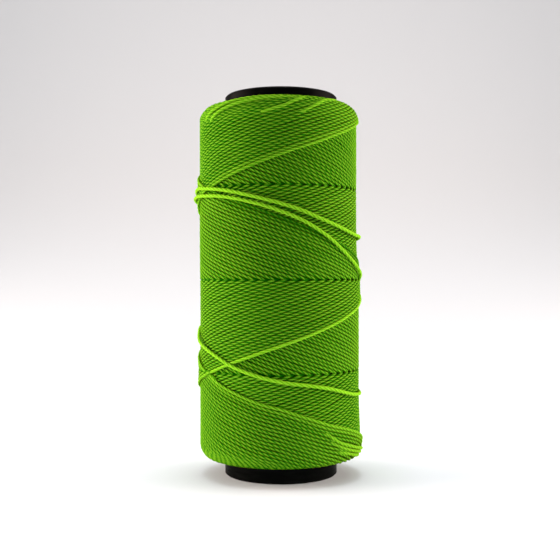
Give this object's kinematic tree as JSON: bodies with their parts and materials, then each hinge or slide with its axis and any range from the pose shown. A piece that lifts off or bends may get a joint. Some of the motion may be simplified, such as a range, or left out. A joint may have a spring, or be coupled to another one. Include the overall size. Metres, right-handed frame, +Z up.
{
  "type": "fishing line spool",
  "caption": "Cross-wound package of twisted green cord on a plain black plastic tube, open right through, standing on one end.",
  "frame": {"origin": "centre of the tube's lower end, on the surface that the spool stands on", "axes": "+Z up along the tube's bore; the slack turns are seen from -Y, with +X to the right"},
  "size_m": [0.0524, 0.0519, 0.12],
  "materials": {
    "tube_plastic": "black moulded plastic, satin to slightly glossy",
    "cord": "twisted polyester cord, waxed, lime green",
    "loose_cord": "twisted polyester cord, waxed, bright lime green"
  },
  "bodies": {
    "root": {"core_tube": "tube_plastic", "inner_winding": "cord", "outer_layer": "cord", "slack_turn_upper": "loose_cord", "slack_turn_middle": "loose_cord", "slack_turn_lower": "loose_cord"}
  },
  "joints": []
}
